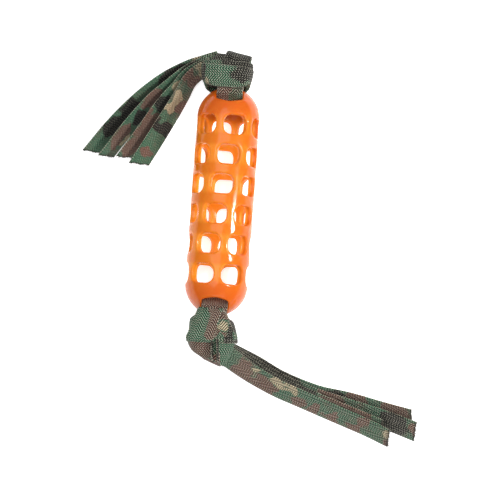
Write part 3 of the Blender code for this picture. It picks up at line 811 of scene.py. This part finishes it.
def wrap_rows(near, far, crown, end, steps=72):
    """Rows across a band that goes once round the knot."""
    rows = []
    for i in range(steps):
        turn = 2 * math.pi * i / steps
        c, s = math.cos(turn), math.sin(turn)
        ends = []
        for middle, half_width, half_depth, y, to_x, to_z in (near, far):
            squareness = HEAD_SQUARENESS if end > 0 else SQUARENESS
            x, z = rounded_section(middle, half_width, half_depth, turn, squareness)
            ends.append(Vector((x, y + to_x * c + to_z * s, z)))
        outward = Vector((c, 0.0, s))
        row = []
        for j in range(ACROSS + 1):
            share = j / ACROSS
            bulge = crown * (1 - (2 * share - 1) ** 2)
            row.append(pulled(ends[0].lerp(ends[1], share) + outward * bulge, end))
        rows.append(row)
    if end > 0:
        rows.reverse()
    return rows


def crossing_rows(stations, end, samples=44):
    """Rows across a strap that lies over the knot."""
    rows = []
    for point in smooth_through(stations, samples):
        a, b = Vector(point[:3]), Vector(point[3:])
        rows.append([pulled(a.lerp(b, j / ACROSS), end, 0.5) for j in range(ACROSS + 1)])
    return rows


# Painted shade: the knot core leans to the black print and is darkened, for the shade in the knot's gaps.
CORE_PRINT_AND_SHADE = (0.0, -0.4, 0.35, 0.4)  # dark, as cloth is in a knot's gaps


def make_core(name, sections, body, end, replaced):
    """The straps' folded mass inside the knot, which shows in the gaps between the wraps, darkened as painted
    shade.
    """
    steps = 48
    rings = smooth_through(sections, 30)
    verts, faces = [], []
    for y, middle, half_width, half_depth in rings:
        for i in range(steps):
            x, z = rounded_section(middle, half_width, half_depth, 2 * math.pi * i / steps)
            verts.append(pulled(Vector((x, y, z)), end))
    for k in range(len(rings) - 1):
        for i in range(steps):
            j = (i + 1) % steps
            face = (k * steps + i, k * steps + j, (k + 1) * steps + j, (k + 1) * steps + i)
            faces.append(face if end > 0 else tuple(reversed(face)))
    for start, flip in ((0, end < 0), ((len(rings) - 1) * steps, end > 0)):
        middle = len(verts)
        verts.append(sum(verts[start:start + steps], Vector()) / steps)
        for i in range(steps):
            face = (start + i, start + (i + 1) % steps, middle)
            faces.append(tuple(reversed(face)) if flip else face)

    def place_on_core(_, vertex):
        x, y, z = verts[vertex]
        return x + z, y

    obj = webbing_piece(name, verts, faces, place_on_core, lambda _: CORE_PRINT_AND_SHADE, body, [replaced])


def make_knot(end_name, end, core, wraps, crossings, mirrored=()):
    body = f"{end_name}_webbing"
    make_core(f"{end_name}_knot_core", core, body, end, f"{end_name}_knot")
    print_start = 2.3 if end > 0 else 4.1
    for name, (near, far, crown) in wraps.items():
        print_start += 0.23
        strap(name, wrap_rows(near, far, crown, end), body, print_start, closed=True)
    for name, stations in crossings.items():
        print_start += 0.23
        strap(name, crossing_rows(stations, end), body, print_start)
        if name in mirrored:
            under = [(d, e, 2 * AXIS_MM - f, a, b, 2 * AXIS_MM - c) for a, b, c, d, e, f in stations]
            strap(f"{name}_under", crossing_rows(under, end), body, print_start + 0.11)


# Threads ----------------------------------------------------------------------


def lines_mesh(name, lines):
    """A mesh of bare edges, one chain for each line of points."""
    verts, edges = [], []
    for points, closed in lines:
        start = len(verts)
        verts += [tuple(p) for p in points]
        edges += [(start + i, start + i + 1) for i in range(len(points) - 1)]
        if closed:
            edges.append((len(verts) - 1, start))
    mesh = bpy.data.meshes.new(name)
    mesh.from_pydata(verts, edges, [])
    return mesh


def selvedge_tree():
    """Weft loops along a strap's edges: one small bead at every pass of the weft."""
    tree, size, output = tree_with("selvedge_loops", ("Spacing mm", "Bead mm"),
                                   (("Edges", "NodeSocketGeometry"), ("Thread", "NodeSocketMaterial")))
    spacing = add(tree, "MULTIPLY", size["Spacing mm"], MM)
    curve = add(tree, "GeometryNodeMeshToCurve", size["Edges"])
    points = add(tree, "GeometryNodeCurveToPoints", curve, mode="LENGTH")
    tree.links.new(spacing, points.node.inputs["Length"])
    radius = add(tree, "MULTIPLY", size["Bead mm"], MM / 2)
    bead = add(tree, "GeometryNodeMeshIcoSphere", radius, 1)
    jitter = add(tree, "FunctionNodeRandomValue", data_type="FLOAT")
    jitter.node.inputs["Min"].default_value = 0.7
    jitter.node.inputs["Max"].default_value = 1.15
    jitter.node.inputs["Seed"].default_value = 5
    placed = add(tree, "GeometryNodeInstanceOnPoints", points).node
    tree.links.new(bead, placed.inputs["Instance"])
    tree.links.new(points.node.outputs["Rotation"], placed.inputs["Rotation"])
    sizes = [add(tree, "MULTIPLY", jitter, share) for share in (0.8, 0.8, 1.3)]
    scale = add(tree, "ShaderNodeCombineXYZ", *sizes)
    tree.links.new(scale, placed.inputs["Scale"])
    threads = add(tree, "GeometryNodeRealizeInstances", placed.outputs[0])
    threads = add(tree, "GeometryNodeSetShadeSmooth", threads)
    threads = add(tree, "GeometryNodeSetMaterial", threads, None, size["Thread"])
    tree.links.new(threads, output.inputs["Mesh"])
    return tree


def fray_tree():
    """Loose thread ends at a strap's cut: short tapered hairs, each turned its own way."""
    tree, size, output = tree_with("frayed_ends", ("Hair mm",),
                                   (("Edges", "NodeSocketGeometry"), ("Thread", "NodeSocketMaterial")))
    length = add(tree, "MULTIPLY", size["Hair mm"], MM)
    normal = add(tree, "GeometryNodeInputNamedAttribute", "heading", data_type="FLOAT_VECTOR")
    hair = add(tree, "GeometryNodeMeshCone", 5, 2, 1).node
    hair.inputs["Radius Top"].default_value = 0.00005
    hair.inputs["Radius Bottom"].default_value = 0.00022
    tree.links.new(length, hair.inputs["Depth"])
    swing = add(tree, "FunctionNodeRandomValue", data_type="FLOAT_VECTOR")
    swing.node.inputs["Min"].default_value = (-0.55, -0.55, -0.30)
    swing.node.inputs["Max"].default_value = (0.55, 0.55, 0.30)
    swing.node.inputs["Seed"].default_value = 11
    heading = add(tree, VECTOR, normal, swing, operation="ADD")
    turned = add(tree, "FunctionNodeAlignRotationToVector", axis="Z")
    tree.links.new(heading, turned.node.inputs["Vector"])
    reach = add(tree, "FunctionNodeRandomValue", data_type="FLOAT")
    reach.node.inputs["Min"].default_value = 0.4
    reach.node.inputs["Max"].default_value = 1.1
    reach.node.inputs["Seed"].default_value = 17
    placed = add(tree, "GeometryNodeInstanceOnPoints", size["Edges"]).node
    tree.links.new(hair.outputs["Mesh"], placed.inputs["Instance"])
    tree.links.new(turned, placed.inputs["Rotation"])
    scale = add(tree, "ShaderNodeCombineXYZ", 1.0, 1.0, reach)
    tree.links.new(scale, placed.inputs["Scale"])
    threads = add(tree, "GeometryNodeRealizeInstances", placed.outputs[0])
    threads = add(tree, "GeometryNodeSetMaterial", threads, None, size["Thread"])
    tree.links.new(threads, output.inputs["Mesh"])
    return tree


def make_threads():
    pale = nylon_thread("selvedge_nylon_thread", "#B3AC97", "#4A4D42")
    dark = nylon_thread("frayed_nylon_thread", "#6E6656", "#26231E")
    selvedge = selvedge_tree()
    for body, lines in STRAP_EDGES.items():
        source = new_object("edge_source", lines_mesh("edge_source", lines))
        loops = grown_by(f"{body}_selvedge", source, selvedge,
                         {"Spacing mm": 1.9, "Bead mm": 1.1, "Thread": pale})
        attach(loops, body)
    fray = fray_tree()
    for body, ends in CUT_ENDS.items():
        points, headings = [], []
        for row, heading in ends:
            for share in range(3 * ACROSS):
                place = share / 3
                i = int(place)
                points.append(row[i].lerp(row[i + 1], place - i))
                headings += list(heading)
        mesh = lines_mesh("cut_source", [])
        mesh.from_pydata([tuple(p) for p in points], [], [])
        mesh.attributes.new("heading", "FLOAT_VECTOR", "POINT").data.foreach_set("vector", headings)
        hairs = grown_by(f"{body}_frayed_ends", new_object("cut_source", mesh), fray,
                         {"Hair mm": 2.6, "Thread": dark})
        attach(hairs, body)


# Stage ------------------------------------------------------------------------


def make_stage(settings):
    floor_mesh = bpy.data.meshes.new("floor")
    reach = 6.0
    floor_mesh.from_pydata([(-reach, -reach, -0.0005), (reach, -reach, -0.0005), (reach, reach, -0.0005),
                            (-reach, reach, -0.0005)], [], [(0, 1, 2, 3)])
    new_object("floor", floor_mesh, pale_board())

    target = Vector((0.031, -0.047, AXIS_HEIGHT))
    view = Vector((0.0, math.sin(settings.tilt), -math.cos(settings.tilt)))
    right = Vector((math.cos(settings.roll), math.sin(settings.roll), 0.0))
    right = (right - view * right.dot(view)).normalized()
    back = -view
    up = back.cross(right)
    camera = bpy.data.cameras.new("camera")
    camera.sensor_width = 36.0
    camera.lens = 36.0 * settings.distance / 0.500  # half a metre fills the picture
    eye = bpy.data.objects.new("camera", camera)
    eye.matrix_world = Matrix.Translation(target + back * settings.distance) @ Matrix(
        (right, up, back)).transposed().to_4x4()
    bpy.context.scene.collection.objects.link(eye)
    bpy.context.scene.camera = eye

    for name, place, width, length, power in (
            ("edge_softbox", (0.80, 0.045, 0.80), 0.07, 0.20, 9.0),
            ("overhead_softbox", (-0.35, 0.25, 1.9), 1.3, 1.3, 14.0),
            ("front_softbox", (0.3, -1.6, 1.1), 1.4, 0.9, 7.0)):
        light = bpy.data.lights.new(name, "AREA")
        light.shape = "RECTANGLE"
        light.size, light.size_y = width, length
        light.energy = power
        lamp = bpy.data.objects.new(name, light)
        lamp.location = place
        lamp.rotation_euler = (target - Vector(place)).to_track_quat("-Z", "Y").to_euler()
        bpy.context.scene.collection.objects.link(lamp)

    world = bpy.data.worlds.new("studio")
    world.use_nodes = True
    background = world.node_tree.nodes["Background"].inputs
    background["Color"].default_value = linear("#FAFAFC")
    upward = add(world.node_tree, "ShaderNodeSeparateXYZ", add(world.node_tree, "ShaderNodeTexCoord")).node
    strength = add(world.node_tree, "ShaderNodeMapRange", upward.outputs["Z"], 0.0, 0.9, 0.30, 0.90)
    world.node_tree.links.new(strength, background["Strength"])
    bpy.context.scene.world = world
    bpy.context.scene.view_settings.view_transform = "Standard"


# Operators and panel ----------------------------------------------------------


class BUMPER_OT_rubber_body(bpy.types.Operator):
    """Make the perforated rubber capsule"""

    bl_idname = "bumper.rubber_body"
    bl_label = "Rubber body"

    def execute(self, context):
        make_rubber_body(context.scene.bumper_rubber)
        return {"FINISHED"}


class BUMPER_OT_strap_loops(bpy.types.Operator):
    """Make the straps' loops through the two slots"""

    bl_idname = "bumper.strap_loops"
    bl_label = "Strap loops"

    def execute(self, context):
        printed_webbing(context.scene.bumper_webbing)
        make_loops("head", 1)
        make_loops("foot", -1)
        return {"FINISHED"}


class BUMPER_OT_knots(bpy.types.Operator):
    """Make the knot at each end from its core and its wraps"""

    bl_idname = "bumper.knots"
    bl_label = "Knots"

    def execute(self, context):
        make_knot("head", 1, HEAD_CORE, HEAD_WRAPS, HEAD_CROSSINGS)
        make_knot("foot", -1, FOOT_CORE, FOOT_WRAPS, {**FOOT_CROSSINGS, **FOOT_STRAPS}, tuple(FOOT_STRAPS))
        return {"FINISHED"}


class BUMPER_OT_tails(bpy.types.Operator):
    """Make the four tails of each end"""

    bl_idname = "bumper.tails"
    bl_label = "Tails"

    def execute(self, context):
        make_tails("head", HEAD_EXIT, HEAD_TAILS, HEAD_SIDE, HEAD_CUT_MM)
        make_tails("foot", FOOT_EXIT, FOOT_TAILS, FOOT_SIDE, FOOT_CUT_MM)
        return {"FINISHED"}


class BUMPER_OT_threads(bpy.types.Operator):
    """Make the weft loops along the straps' edges and the frayed ends"""

    bl_idname = "bumper.threads"
    bl_label = "Threads"

    def execute(self, context):
        make_threads()
        return {"FINISHED"}


class BUMPER_OT_stage(bpy.types.Operator):
    """Make the floor, the lights and the camera"""

    bl_idname = "bumper.stage"
    bl_label = "Stage"

    def execute(self, context):
        make_stage(context.scene.bumper_stage)
        return {"FINISHED"}


PIECE_OPERATORS = (BUMPER_OT_rubber_body, BUMPER_OT_strap_loops, BUMPER_OT_knots, BUMPER_OT_tails,
                   BUMPER_OT_threads, BUMPER_OT_stage)


class BUMPER_PT_pieces(bpy.types.Panel):
    """Lists the pieces of the bumper"""

    bl_label = "Training bumper"
    bl_space_type = "VIEW_3D"
    bl_region_type = "UI"
    bl_category = "Bumper"

    def draw(self, context):
        scene = context.scene
        for group in (scene.bumper_rubber, scene.bumper_webbing, scene.bumper_stage):
            for name in group.__annotations__:
                self.layout.prop(group, name)
        for operator in PIECE_OPERATORS:
            self.layout.operator(operator.bl_idname)


CLASSES = (RubberSettings, WebbingSettings, StageSettings, *PIECE_OPERATORS, BUMPER_PT_pieces)


def register():
    for cls in CLASSES:
        bpy.utils.register_class(cls)
    bpy.types.Scene.bumper_rubber = bpy.props.PointerProperty(type=RubberSettings)
    bpy.types.Scene.bumper_webbing = bpy.props.PointerProperty(type=WebbingSettings)
    bpy.types.Scene.bumper_stage = bpy.props.PointerProperty(type=StageSettings)


def unregister():
    del bpy.types.Scene.bumper_stage
    del bpy.types.Scene.bumper_webbing
    del bpy.types.Scene.bumper_rubber
    for cls in reversed(CLASSES):
        bpy.utils.unregister_class(cls)


def main():
    register()
    noise.seed_set(NOISE_SEED)
    bpy.ops.bumper.stage()
    bpy.ops.bumper.rubber_body()
    bpy.ops.bumper.strap_loops()
    bpy.ops.bumper.knots()
    bpy.ops.bumper.tails()
    bpy.ops.bumper.threads()


if __name__ == "__main__":
    main()
